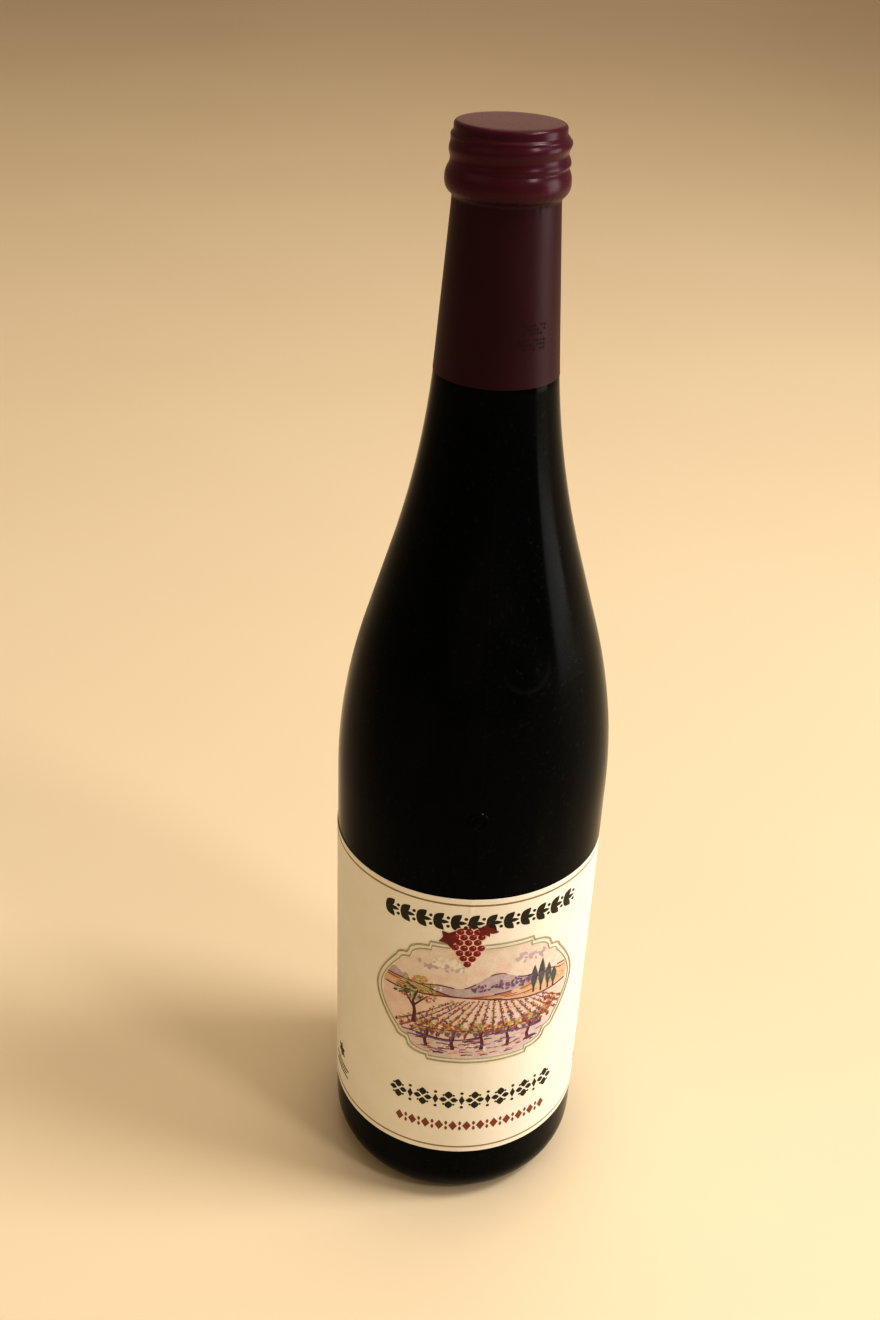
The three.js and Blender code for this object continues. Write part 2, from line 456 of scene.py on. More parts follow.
ring_tree = Growth("bars_round_the_base", glass_finish.material, Count=int, Radius=float)
circle = {"Vertices": ring_tree.given("Count"), "Radius": ring_tree.given("Radius")}
ring_points = ring_tree.add("GeometryNodeMeshCircle", {}, circle)
ring_place = ring_tree.add("GeometryNodeInputPosition")
outwards = ring_tree.add("FunctionNodeAlignRotationToVector", {"axis": "X"}, {"Vector": ring_place})
bar = box_mesh("bar", (-BAR_LONG / 2, -BAR_WIDE / 2, 0), (BAR_LONG / 2, BAR_WIDE / 2, 2 * BAR_HEIGHT))
ring_tree.scatter(ring_points, Rotation=outwards)
bars_radius = (bearing_inside + bearing_outside) / 2
bars_mesh = grown("base_bars", bar, ring_tree.tree, Count=BARS, Radius=bars_radius)
base_bars = new_piece("base_bars", bars_mesh, glass_finish.material)
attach(base_bars, "root")


def relief_ring(name, radius, thickness):
    """A raised ring of the mould mark, its section a low round half sunk into the glass"""
    vertices, faces = [], []
    for i in range(MARK_SIDES):
        t = tau * i / MARK_SIDES
        for j in range(MARK_SECTION_SIDES):
            s = tau * j / MARK_SECTION_SIDES
            reach = radius + thickness * cos(s)
            height = MARK_HEIGHT + reach * sin(t)
            wall = wall_radius(height) + thickness * MARK_RISE * sin(s)
            azimuth = SEAM_AZIMUTH + reach * cos(t) / wall
            vertices.append(round_axis(wall, azimuth, height))
            a, b = i * MARK_SECTION_SIDES, (i + 1) % MARK_SIDES * MARK_SECTION_SIDES
            k = (j + 1) % MARK_SECTION_SIDES
            faces.append((a + j, b + j, b + k, a + k))
    ring = new_piece(name, outward_mesh(name, vertices, faces), glass_finish.material)
    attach(ring, "root")


relief_ring("mould_mark_outer", MARK_RADIUS, 0.55 * MM)
relief_ring("mould_mark_inner", MARK_RADIUS * 0.35, 0.5 * MM)

# The label: one sheet of cream uncoated paper, glued round the body by machine a shade off level. Its two
# ends stop short of each other at the back, and it creases faintly where it crosses the mould seam.
LABEL_WIDTH = 236 * MM
LABEL_HEIGHT = 100 * MM
LABEL_MIDDLE = 72.5 * MM
LABEL_SLANT = radians(0.6)
PAPER = 0.12 * MM
CREASE_RISE = 0.1 * MM
CREASE_WIDTH = 0.7 * MM
CREASE_LEAST = 0.15
EDGE_RISE = 0.05 * MM
SHORT_WAVE = 7 * MM
LONG_WAVE = 19 * MM
COLUMN = 1.8 * MM

crease_place = SEAM_AZIMUTH * BODY_RADIUS
fine_columns = [crease_place + CREASE_WIDTH * step / 2 for step in range(-5, 6)]
even_columns = spaced(-LABEL_WIDTH / 2, LABEL_WIDTH / 2, round(LABEL_WIDTH / COLUMN))
columns = [x for x in even_columns if abs(x - crease_place) > 3 * CREASE_WIDTH]
columns = sorted(columns + fine_columns)


def sheet_rise(across, up):
    """How far the paper stands off its even place: over the seam, and in slow waves along its edges"""
    upper = max(CREASE_LEAST, 2 * up / LABEL_HEIGHT)
    crease = CREASE_RISE * upper * exp(-(((across - crease_place) / CREASE_WIDTH) ** 2))
    edge = abs(2 * up / LABEL_HEIGHT) ** 10
    return crease + EDGE_RISE * edge * (1 + sin(across / SHORT_WAVE) * cos(across / LONG_WAVE))


def on_label(across, up, level):
    """The point over (across, up) on the sheet, counted from its middle, level above the glass"""
    arc = across * cos(LABEL_SLANT) - up * sin(LABEL_SLANT)
    height = LABEL_MIDDLE + across * sin(LABEL_SLANT) + up * cos(LABEL_SLANT)
    return round_axis(BODY_RADIUS + level + sheet_rise(across, up), arc / BODY_RADIUS, height)


paper = Finish("cream_paper", Specular_IOR_Level=0.35)
fibre = paper.noise(2600, 3, stretch=(1, 1, 0.4))
mottle = paper.noise(90, 4)
ageing = paper.noise(14, 2, shift=(2, 0, 0))
paper.wear(
    Base_Color=paper.blend(
        paper.between(mottle * 0.5 + fibre * 0.3 + ageing * 0.4, 0.35, 0.85),
        (0.86, 0.82, 0.72),
        (0.93, 0.91, 0.85),
    ),
    Roughness=mottle * 0.12 + fibre * 0.08 + 0.45,
    Normal=paper.bump(fibre, 0.02 * MM, 0.35),
)


def closed_sheet(name, flat, tops, bottom, over, rim):
    """A thin closed mesh on the body, from flat points with a level each, faces and rim edges"""
    vertices = [on_label(x, y, level) for (x, y), level in zip(flat, tops)]
    vertices += [on_label(x, y, bottom) for x, y in flat]
    under = len(flat)
    faces = [tuple(face) for face in over]
    faces += [tuple(under + i for i in reversed(face)) for face in over]
    faces += [(b, a, under + a, under + b) for a, b in rim]
    return new_mesh(name, vertices, faces)


upper_rows = (0.5, 0.8, 0.9, 0.95, 0.98, 1)
label_rows = [y * LABEL_HEIGHT / 2 for y in (*(-y for y in upper_rows[::-1]), 0, *upper_rows)]
label_flat = [(x, y) for y in label_rows for x in columns]
wide = len(columns)
label_quads = [
    (j * wide + i, j * wide + i + 1, (j + 1) * wide + i + 1, (j + 1) * wide + i)
    for j in range(len(label_rows) - 1)
    for i in range(wide - 1)
]
last = len(label_rows) - 1
label_rim = [(i, i + 1) for i in range(wide - 1)]
label_rim += [(last * wide + i + 1, last * wide + i) for i in range(wide - 1)]
label_rim += [((j + 1) * wide, j * wide) for j in range(last)]
label_rim += [(j * wide + wide - 1, (j + 1) * wide + wide - 1) for j in range(last)]
sheet = closed_sheet("label", label_flat, [PAPER] * len(label_flat), 0, label_quads, label_rim)
label = new_piece("label_paper", sheet, paper.material)
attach(label, "root")
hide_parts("label")

# The print on the label: inks laid one over another in thin layers. It has a gold rule inside each long
# edge, a double cut-corner frame round a small painted view of a vineyard, a bunch of grapes over the
# frame, and rows of plain ornament above and below.
INK = 0.013 * MM
SHAPES_APART = 0.002 * MM
SHAPES_CYCLE = 6
RULE_PLACE = 47.9
RULE_HALF = 0.3
RULE_INSET = 1.5
LEAF_LOBES = 5
LOBE_DEPTH = 0.42


class Ink:
    """One printed colour: it collects flat shapes in millimetres from the label's middle, then lays them"""

    def __init__(self, name, dark, light):
        self.name, self.shapes = name, []
        finish = Finish(name, Specular_IOR_Level=0.3)
        wash = finish.noise(330, 4, shift=(len(name), 0, 0))
        grain = finish.noise(2400, 2)
        amount = finish.between(wash * 0.5 + grain * 0.5, 0.3, 0.7)
        finish.wear(
            Base_Color=finish.blend(amount, dark, light),
            Roughness=grain * 0.15 + 0.42,
            Normal=finish.bump(grain, 0.01 * MM, 0.25),
        )
        self.material = finish.material

    def add(self, *shapes):
        self.shapes.extend(shapes)

    def lay(self, layer):
        """Cuts the shapes at the label's columns, so that they bend with the paper, and closes each one"""
        flat, triangles, tops, rims = [], [], [], []
        for number, outline in enumerate(self.shapes):
            shape = bmesh.new()
            shape.faces.new([shape.verts.new((x * MM, y * MM, 0)) for x, y in outline])
            left, right = min(x for x, _ in outline) * MM, max(x for x, _ in outline) * MM
            for column in columns:
                if left < column < right:
                    everything = [*shape.verts, *shape.edges, *shape.faces]
                    bmesh.ops.bisect_plane(
                        shape, geom=everything, dist=1e-8, plane_co=(column, 0, 0), plane_no=(1, 0, 0)
                    )
            bmesh.ops.triangulate(shape, faces=shape.faces, ngon_method="EAR_CLIP")
            shape.verts.index_update()
            start = len(flat)
            upright = 1 if sum(f.calc_area() * f.normal.z for f in shape.faces) > 0 else -1
            flat.extend((v.co.x, v.co.y) for v in shape.verts)
            level = PAPER + INK * layer + SHAPES_APART * (number % SHAPES_CYCLE)
            tops.extend([level] * len(shape.verts))
            for face in shape.faces:
                corners = [start + v.index for v in face.verts]
                triangles.append(corners if upright > 0 else corners[::-1])
            for edge in shape.edges:
                if len(edge.link_loops) == 1:
                    loop = edge.link_loops[0]
                    a, b = start + loop.vert.index, start + loop.link_loop_next.vert.index
                    rims.append((a, b) if upright > 0 else (b, a))
            shape.free()
        mesh = closed_sheet(self.name, flat, tops, PAPER - INK, triangles, rims)
        piece = new_piece(self.name, mesh, self.material)
        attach(piece, "root")


def disc(x, y, radius, sides):
    return ellipse_arc(x, y, radius, radius, 0, tau, sides)[:-1]


def leaf(x, y, length, width, angle, steps=6):
    """A pointed oval that grows from (x, y) at an angle in degrees"""
    side = [(length * t, width / 2 * sin(pi * t)) for t in spaced(0, 1, steps)]
    loop = side + [(a, -b) for a, b in side[-2:0:-1]]
    c, s = cos(radians(angle)), sin(radians(angle))
    return [(x + a * c - b * s, y + a * s + b * c) for a, b in loop]


def vine_leaf(x, y, size, angle):
    """A leaf with pointed lobes round its middle"""
    turn = radians(angle)
    return [
        (x + size * reach * cos(t + turn), y + size * reach * sin(t + turn))
        for t in spaced(0, tau, LEAF_LOBES * 4)[:-1]
        for reach in [1 - LOBE_DEPTH * abs(sin(t * LEAF_LOBES / 2)) ** 0.8]
    ]


def stroke(points, width, tip=None):
    """A line through points as one shape, which may run to another width at its tip"""
    left, right = [], []
    tip = width if tip is None else tip
    for i, (x, y) in enumerate(points):
        (ax, ay), (bx, by) = points[max(i - 1, 0)], points[min(i + 1, len(points) - 1)]
        long = hypot(bx - ax, by - ay)
        half = (width + (tip - width) * i / (len(points) - 1)) / 2
        nx, ny = (ay - by) / long * half, (bx - ax) / long * half
        left.append((x + nx, y + ny))
        right.append((x - nx, y - ny))
    return left + right[::-1]


def rule(left, right, height, half=RULE_HALF):
    """A level line, half its width on either side of a height"""
    return [(left, height - half), (right, height - half), (right, height + half), (left, height + half)]


gold = Ink("print_gold_rules", (0.24, 0.17, 0.07), (0.40, 0.31, 0.16))
rule_end = LABEL_WIDTH / 2 / MM - RULE_INSET
gold.add(rule(-rule_end, rule_end, -RULE_PLACE), rule(-rule_end, rule_end, RULE_PLACE))
gold.lay(1)

FRAME_MIDDLE = 11
FRAME_HALF_HEIGHT = 22.9
FRAME_HALF_WIDTH = 32
FRAME_TOP_REACH = 15
FRAME_CUTS = ((15.4, 4.9, 6, 3.3, 0.6, 5), (22, 8.2, 3.2, 2.1, 0.7, 4))
FRAME_BEND = 5.6
PICTURE_REACH = 29.4
PICTURE_INSET = 2.1


def frame_corner(inset):
    """One quarter of the cut-corner frame, from the top's middle to the side's point"""
    top = FRAME_HALF_HEIGHT - inset
    slim = inset * 0.9
    corner = [(0.0, top), (FRAME_TOP_REACH - slim * 0.4, top)]
    for across, down, wide, high, share, steps in FRAME_CUTS:
        corner += ellipse_arc(across - slim * share, top - down, wide, high, pi / 2, 0, steps)
    sx, sy = corner[-1]
    for t in spaced(0, 1, 8)[1:]:
        bend = 2 * t * (1 - t)
        x = (1 - t) ** 2 * sx + (bend + t * t) * (FRAME_HALF_WIDTH - inset)
        corner.append((x, (1 - t) ** 2 * sy + bend * FRAME_BEND))
    return corner


def frame_line(outside, inside):
    """Closed band between two insets of the frame, as four-cornered shapes"""
    bands = []
    outer, inner = frame_corner(outside), frame_corner(inside)
    for sx in (-1, 1):
        for sy in (-1, 1):
            for (a, b), (c, d) in zip(zip(outer, outer[1:]), zip(inner, inner[1:])):
                bands.append([(sx * x, FRAME_MIDDLE + sy * y) for x, y in (a, b, d, c)])
    return bands


picture_edge = frame_corner(PICTURE_INSET)


def frame_reach(x):
    """Half the height of the picture at a distance from its middle"""
    x = abs(x)
    for (x1, y1), (x2, y2) in zip(picture_edge, picture_edge[1:]):
        if x1 <= x <= x2:
            return y1 + (y2 - y1) * (x - x1) / max(x2 - x1, 1e-6)
    return 0.0


class Paint(Ink):
    """An ink of the picture: places count from the picture's middle, and nothing leaves the frame"""

    def add(self, *shapes):
        for shape in shapes:
            if all(abs(y) < frame_reach(x) + 0.05 for x, y in shape):
                super().add([(x, y + FRAME_MIDDLE) for x, y in shape])

    def fill(self, lower, upper):
        """The part of the picture between two lines, each a function of the distance from the middle"""
        low, high = [], []
        for x in spaced(-PICTURE_REACH, PICTURE_REACH, 60):
            reach = frame_reach(x)
            a, b = max(-reach, min(reach, lower(x))), max(-reach, min(reach, upper(x)))
            if b - a > 0.03:
                low.append((x, a))
                high.append((x, b))
        self.add(low + high[::-1])

    def dab(self, x, y, wide, high, count, size):
        """Small brush marks scattered over an oval"""
        for _ in range(count):
            turn, out = draw.uniform(0, tau), draw.random() ** 0.6
            long = size * draw.uniform(0.7, 1.4)
            place = (x + wide * out * cos(turn), y + high * out * sin(turn))
            self.add(leaf(*place, long, long * 0.55, draw.uniform(0, 360), 4))

    def trace(self, line, left, right, width, broken=0.0):
        """A drawn line, in lengths that may leave gaps"""
        x = left
        while x < right:
            long = draw.uniform(2.2, 5.0)
            if draw.random() >= broken:
                self.add(stroke([(u, line(u)) for u in spaced(x, min(x + long, right), 6)], width))
            x += long * 1.02


def far_hills(x):
    return 8.2 + 2.3 * sin(x / 6.1 + 0.5) + 1.1 * sin(x / 2.6)


def near_hills(x):
    return 5.0 + 1.9 * sin(x / 8.4 - 1.4) + 0.4 * sin(x / 2.9 + 1)


def slope(x):
    return 1.6 - 0.07 * x + 1.0 * sin(x / 7.4 + 2.2)


def bank(x):
    return -12.6 + 0.05 * x + 0.8 * sin(x / 4.4)


def between_lines(lower, upper, share):
    return lambda x: lower(x) + (upper(x) - lower(x)) * share


draw = random.Random(7)
sky = Paint("print_sky_wash", (0.73, 0.61, 0.53), (0.87, 0.79, 0.72))
lilac = Paint("print_lilac_wash", (0.46, 0.36, 0.42), (0.66, 0.57, 0.60))
fawn = Paint("print_tan_wash", (0.66, 0.43, 0.29), (0.81, 0.63, 0.49))
peach = Paint("print_peach_wash", (0.73, 0.55, 0.49), (0.87, 0.75, 0.69))
earth = Paint("print_pale_earth", (0.62, 0.50, 0.52), (0.80, 0.70, 0.70))
rust = Paint("print_rust_strokes", (0.34, 0.085, 0.04), (0.50, 0.17, 0.085))
salmon = Paint("print_salmon_strokes", (0.56, 0.21, 0.13), (0.70, 0.34, 0.22))
ochre = Paint("print_ochre_dabs", (0.54, 0.33, 0.13), (0.70, 0.50, 0.26))
lime = Paint("print_lime_dabs", (0.38, 0.37, 0.15), (0.57, 0.56, 0.30))
pine = Paint("print_pine_dabs", (0.065, 0.085, 0.095), (0.15, 0.18, 0.18))
plum = Paint("print_plum_strokes", (0.085, 0.028, 0.045), (0.19, 0.075, 0.10))
violet = Paint("print_violet_dabs", (0.17, 0.09, 0.19), (0.33, 0.22, 0.36))
white = Paint("print_white_dabs", (0.80, 0.76, 0.68), (0.90, 0.87, 0.80))

sky.fill(far_hills, lambda x: 30)
white.dab(-9, 15.2, 6, 1.6, 46, 1.5)
lilac.dab(16, 15.4, 6, 1.2, 30, 1.6)
lilac.dab(-12, 13.6, 7, 0.7, 26, 1.5)
peach.add(disc(6.5, 13.0, 2.3, 26))
lilac.fill(near_hills, far_hills)
violet.dab(9, 6.6, 13, 1.4, 70, 1.0)
plum.trace(far_hills, -27, 27, 0.2, 0.25)
fawn.fill(slope, near_hills)
for share in (0.2, 0.4, 0.6, 0.8):
    rust.trace(between_lines(slope, near_hills, share), -28, 28, 0.22, 0.45)
    ochre.trace(between_lines(slope, near_hills, share + 0.1), -28, 28, 0.4, 0.6)
plum.trace(near_hills, -28, 28, 0.22, 0.2)
peach.fill(bank, slope)
plum.trace(slope, -28.6, 28.6, 0.3, 0.12)

# vine rows that run up the slope towards one far point
FAR_X, FAR_Y = 4.0, 9.5
ROWS_FOOT = -16
ROWS_APART = 4.6
for row in range(-8, 9):
    foot = FAR_X + row * ROWS_APART
    points = [(foot + (FAR_X - foot) * t, ROWS_FOOT + (FAR_Y - ROWS_FOOT) * t) for t in spaced(0, 0.68, 34)]
    points = [(x, y) for x, y in points if bank(x) + 0.2 < y < slope(x) - 0.3]
    points = [(x, y) for x, y in points if abs(y) < frame_reach(x) - 0.6]
    if len(points) < 4:
        continue
    rust.add(stroke(points, 0.55, 0.14))
    for i, (x, y) in enumerate(points):
        size = 1.7 * (FAR_Y - y) / (FAR_Y - ROWS_FOOT)
        for ink, chance in ((lime, 0.4), (ochre, 0.35), (pine, 0.25), (rust, 0.45), (violet, 0.35)):
            if draw.random() < chance:
                ink.dab(x, y + size * 0.35, size * 0.5, size * 0.35, 1, size * 0.8)
        if i % 5 == 0:
            plum.add(stroke([(x, y - size * 0.4), (x, y + size * 0.7)], 0.16))

# pale earth with a path along the front
earth.fill(lambda x: -30, bank)
lilac.trace(lambda x: bank(x) - 2.0, -20, 20, 0.7, 0.3)
lilac.trace(lambda x: bank(x) - 4.2, -18, 18, 0.9, 0.3)
violet.trace(lambda x: bank(x) - 0.5, -22, 22, 0.45, 0.3)
plum.trace(bank, -23, 23, 0.25, 0.15)
white.dab(0, -16.6, 12, 1.2, 18, 1.0)
for ink in (plum, violet, rust, lilac, salmon):
    for _ in range(26):
        x = draw.uniform(-20, 20)
        y = draw.uniform(-20, bank(x) - 0.7)
        long = draw.uniform(0.6, 1.7)
        ink.add(stroke([(x - long, y - 0.1), (x, y + 0.15), (x + long, y)], 0.34, 0.1))

# a spreading tree on the left, slender ones on the right
plum.add(stroke([(-19.4, -9.4), (-19.0, -5.0), (-19.6, -1.0), (-18.2, 3.4)], 1.3, 0.4))
plum.add(stroke([(-19.3, -3.4), (-21.4, 0.2), (-22.2, 2.4)], 0.6, 0.2))
plum.add(stroke([(-19.2, -2.6), (-16.6, 0.4), (-15.2, 2.0)], 0.6, 0.2))
lime.dab(-18.6, 3.8, 6.0, 4.6, 48, 1.6)
pine.dab(-20.6, 2.0, 4.4, 3.2, 22, 1.2)
ochre.dab(-16.6, 5.6, 4.0, 3.2, 30, 1.3)
salmon.dab(-18.0, 3.4, 5.6, 4.2, 60, 1.4)
rust.dab(-18.0, 3.0, 5.4, 4.0, 46, 1.0)
white.dab(-16.0, 5.0, 5.0, 3.4, 20, 0.9)
for x, foot, tall in ((16.2, 2.0, 9.0), (18.8, 1.4, 11.2), (21.4, 1.0, 8.6), (23.6, 0.4, 6.4)):
    plum.add(stroke([(x, foot - 1.2), (x, foot + 2.0)], 0.5, 0.3))
    pine.add(leaf(x, foot, tall, 2.1, 90, 8))
    lime.dab(x + 0.4, foot + tall * 0.45, 0.7, tall * 0.3, 14, 0.9)

# rocks at the right foot of the slope
for x, y, size in ((20.6, -8.4, 2.6), (23.4, -6.2, 2.0), (18.2, -11.0, 2.2), (21.8, -4.2, 1.2)):
    outline = []
    for turn in spaced(0, tau, 8)[:-1]:
        reach = size * draw.uniform(0.8, 1.1)
        outline.append((x + reach * cos(turn), y + reach * 0.62 * sin(turn)))
    salmon.add(outline)
    rust.dab(x - size * 0.2, y - size * 0.2, size * 0.6, size * 0.3, 9, 0.9)
    plum.add(stroke(outline[4:] + outline[:1], 0.3, 0.15))

# old vines in the foreground, tied to a low wire
for x in (-15.2, -7.4, 0.8, 8.6, 15.6):
    lean = draw.uniform(-0.6, 0.6)
    plum.add(stroke([(x, -17.6), (x + lean, -15.0), (x - lean * 0.5, -12.2), (x + 0.3, -10.2)], 1.1, 0.5))
    for side in (-1, 1):
        rust.add(stroke([(x + 0.2, -11.4), (x + side * 1.8, -9.8), (x + side * 3.4, -9.9)], 0.5, 0.2))
    for ink, count in ((lime, 7), (ochre, 6), (rust, 9), (salmon, 9)):
        for _ in range(count):
            place = (x + draw.uniform(-3.4, 3.4), -9.6 + draw.uniform(-1.6, 2.0))
            ink.add(vine_leaf(*place, draw.uniform(0.55, 0.9), draw.uniform(0, 360)))
    for side in (-1.7, 1.5):
        for dx, dy in ((-0.45, 0), (0.1, 0.1), (0.6, 0), (-0.2, -0.5), (0.35, -0.5), (0.1, -1.0)):
            violet.add(disc(x + side + dx, -11.3 + dy, 0.34, 8))
plum.trace(lambda x: -10.0, -19, 19, 0.14)

printed = (sky, lilac, fawn, peach, earth, salmon, white, ochre, rust, lime, pine, plum, violet)
for layer, ink in enumerate(printed, 1):
    ink.lay(layer)

olive = Ink("print_frame_lines", (0.36, 0.33, 0.21), (0.52, 0.49, 0.36))
olive.add(*frame_line(0, 0.5), *frame_line(1.5, 1.8))
olive.lay(14)

# ornament rows: a laurel above the frame, petals and lozenges below it
dark_ink = Ink("print_dark_ornament", (0.016, 0.017, 0.009), (0.040, 0.042, 0.024))
red_ink = Ink("print_red_ornament", (0.20, 0.050, 0.028), (0.32, 0.11, 0.06))


def grown_outlines(shapes, tree, **sizes):
    """The outlines that a tree grows from flat shapes, in millimetres like them"""
    vertices, faces = [], []
    for outline in shapes:
        faces.append(range(len(vertices), len(vertices) + len(outline)))
        vertices.extend((x, y, 0) for x, y in outline)
    mesh = grown("outlines", new_mesh("unit", vertices, faces), tree, **sizes)
    return [[mesh.vertices[i].co[:2] for i in face.vertices] for face in mesh.polygons]


row_tree = Growth("ornament_row", dark_ink.material, Count=int, Step=float)
row_count, row_step = row_tree.given("Count"), row_tree.given("Step")
row_start = row_tree.add("ShaderNodeCombineXYZ", {}, {"X": row_step * (row_count - 1) * -0.5})
row_offset = row_tree.add("ShaderNodeCombineXYZ", {}, {"X": row_step})
row_line = {"Count": row_count, "Start Location": row_start, "Offset": row_offset}
row_tree.scatter(row_tree.add("GeometryNodeMeshLine", {}, row_line))


def ornament_row(ink, shapes, count, step, height):
    for outline in grown_outlines(shapes, row_tree.tree, Count=count, Step=step):
        ink.add([(x, y + height) for x, y in outline])


laurel = [leaf(-2.1, 0, 4.2, 2.3, angle, 8) for angle in (44, -44)]
laurel += [leaf(-1.2, 0, 3.6, 1.3, 0, 8), disc(2.1, 1.5, 0.5, 10), disc(2.1, -1.5, 0.5, 10)]
ornament_row(dark_ink, laurel, count=12, step=4.9, height=41.6)

petals = [leaf(0, 0.5 * side, 3.1, 2.3, 90 * side, 8) for side in (1, -1)]
petals += [leaf(0.5, 0, 2.3, 1.9, 0, 8), leaf(-0.5, 0, 2.3, 1.9, 180, 8)]
petals += [disc(1.5 * sx, 1.9 * sy, 0.36, 8) for sx in (-1, 1) for sy in (-1, 1)]
ornament_row(dark_ink, petals, count=7, step=7.9, height=-27.6)
spindle = [[(-0.85, 0), (0, -1.9), (0.85, 0), (0, 1.9)], disc(0, 2.9, 0.5, 10), disc(0, -2.9, 0.5, 10)]
ornament_row(dark_ink, spindle, count=6, step=7.9, height=-27.6)
dark_ink.lay(4)

lozenge = [[(-1.3, 0), (0, -2.0), (1.3, 0), (0, 2.0)]]
ornament_row(red_ink, lozenge, count=12, step=4.2, height=-38.6)
bud = [leaf(0, 0.2, 1.8, 0.9, 90), leaf(0, -0.2, 1.8, 0.9, -90)]
ornament_row(red_ink, bud, count=11, step=4.2, height=-38.6)
red_ink.lay(4)

# side and back print: a small rosette and rules on each side, and ruled lines at the back
ROSETTE_PLACE = 52
BACK_LINE_HALF = 0.42
BACK_LINE_GAP = 0.9

side_ink = Ink("print_side_marks", (0.05, 0.035, 0.02), (0.12, 0.085, 0.05))
for middle in (-ROSETTE_PLACE, ROSETTE_PLACE):
    for petal in range(6):
        side_ink.add(leaf(middle, -33.5, 2.9, 1.3, petal * 60 + 30))
    for height, reach in ((-38.6, 5.6), (-40.1, 4.2), (-41.6, 5.2)):
        side_ink.add(rule(middle - reach, middle + reach, height))
for lines, top, fall, left, right, least, most in (
    (16, 33, 3.1, -104, -77, 2.0, 5.5), (9, 30, 3.4, 79, 105, 1.5, 4.6)
):
    for line in range(lines):
        x, y = left, top - line * fall
        while x < right - 1:
            long = draw.uniform(least, most)
            side_ink.add(rule(x, min(x + long, right), y, BACK_LINE_HALF))
            x += long + BACK_LINE_GAP
side_ink.lay(3)

# the bunch of grapes that hangs over the frame
BUNCH_X, BUNCH_MIDDLE = -4.3, 32.8
BERRY = 1.06
BERRY_ROWS = 7
ROWS_CLOSE = 1.84
BERRIES_CLOSE = 2.3
HALO = 0.34
SHINE = 0.24
halo = Ink("print_bunch_halo", (0.78, 0.56, 0.46), (0.86, 0.68, 0.56))
bunch_leaf = Ink("print_bunch_leaves", (0.13, 0.014, 0.014), (0.24, 0.04, 0.035))
for outline in (
    vine_leaf(-5.2, 3.0, 3.3, 205),
    vine_leaf(4.6, 6.2, 2.5, 10),
    leaf(4.8, 6.2, 3.6, 1.5, -14),
    stroke([(-0.4, 5.8), (0.5, 7.4), (-0.4, 8.6)], 0.7, 0.4),
    stroke([(-4.6, 4.8), (-2.4, 6.8), (0.2, 6.9)], 0.4),
):
    bunch_leaf.add([(BUNCH_X + x, BUNCH_MIDDLE + y) for x, y in outline])

berry_ink = Ink("print_berries", (0.17, 0.012, 0.016), (0.30, 0.032, 0.036))
shine_ink = Ink("print_berry_shine", (0.50, 0.20, 0.17), (0.62, 0.32, 0.26))
bunch = Growth("bunch_of_berries", berry_ink.material, Rows=int, Berry=float)
berry_size, berry_rows = bunch.given("Berry"), bunch.given("Rows")
row_height = berry_size * ROWS_CLOSE
side_step = berry_size * BERRIES_CLOSE
grid_size = {"Size X": side_step * 8, "Size Y": row_height * (berry_rows - 1)}
grid_points = {"Vertices X": 9, "Vertices Y": berry_rows}
grid = bunch.add("GeometryNodeMeshGrid", {}, {**grid_size, **grid_points})
spot_x, spot_y, _ = bunch.along(bunch.add("GeometryNodeInputPosition"))
row_number = spot_y / row_height + (berry_rows - 1) * 0.5
odd_row = bunch.math("FLOOR", bunch.math("MODULO", row_number + 0.01, 2.0))
row_shift = odd_row * side_step * 0.5
half_bunch = bunch.math("MINIMUM", row_number * 0.4 + 0.45, 1.7) * side_step
past_edge = bunch.math("ABSOLUTE", spot_x + row_shift) - half_bunch
outside = bunch.add("FunctionNodeCompare", {"operation": "GREATER_THAN"}, {"A": past_edge, "B": 0.0})
cut = {"Geometry": grid, "Selection": outside}
kept = bunch.add("GeometryNodeDeleteGeometry", {"domain": "POINT"}, cut)
jitter = bunch.add(
    "FunctionNodeRandomValue", {"data_type": "FLOAT_VECTOR"},
    {"Min": (-0.12, -0.1, 0), "Max": (0.12, 0.1, 0), "Seed": 11},
)
sideways = bunch.add("ShaderNodeCombineXYZ", {}, {"X": row_shift})
settling = {"Geometry": kept, "Offset": bunch.vector_math("ADD", sideways, jitter)}
bunch.scatter(bunch.add("GeometryNodeSetPosition", {}, settling))
for outline in grown_outlines([disc(0, 0, BERRY, 16)], bunch.tree, Rows=BERRY_ROWS, Berry=BERRY):
    ring = [(BUNCH_X + x, BUNCH_MIDDLE + y) for x, y in outline]
    middle_x = sum(x for x, _ in ring) / len(ring)
    middle_y = sum(y for _, y in ring) / len(ring)
    halo.add(disc(middle_x, middle_y, BERRY + HALO, 16))
    berry_ink.add(ring)
    shine_ink.add(disc(middle_x + 0.34, middle_y + 0.36, SHINE, 8))
halo.lay(15)
bunch_leaf.lay(16)
berry_ink.lay(17)
shine_ink.lay(18)

# The capsule: dark red plastic film shrunk tight over the neck and the screw closure, so that the
# closure's bead, its right-hand thread and its flat top all show through. Its cut edge hugs the glass.
FILM = 0.12 * MM
FILM_CLEAR = 0.02 * MM
OVER_MOUTH = 0.2 * MM
CLOSURE_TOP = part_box("capsule")[1].z
BEAD_MIDDLE = 303.2 * MM
BEAD_BELOW = 3 * MM
BEAD_ABOVE = 3.9 * MM
BEAD_DEPTH = 2.2 * MM
BEAD_RADIUS = 14.65 * MM
BARREL_RADIUS = 13.5 * MM
BARREL_TOP = 313.1 * MM
RIM_RADIUS = 12.95 * MM
RIM_BOTTOM = 313.9 * MM
RIM_ROUND = 1.0 * MM
THREAD_PITCH = 4.3 * MM
THREAD_HEIGHT = 0.68 * MM
THREAD_LEAST = 0.5
THREAD_FULL_SIDE = radians(80)
THREAD_CREST = 311 * MM
THREAD_FROM = 306.2 * MM
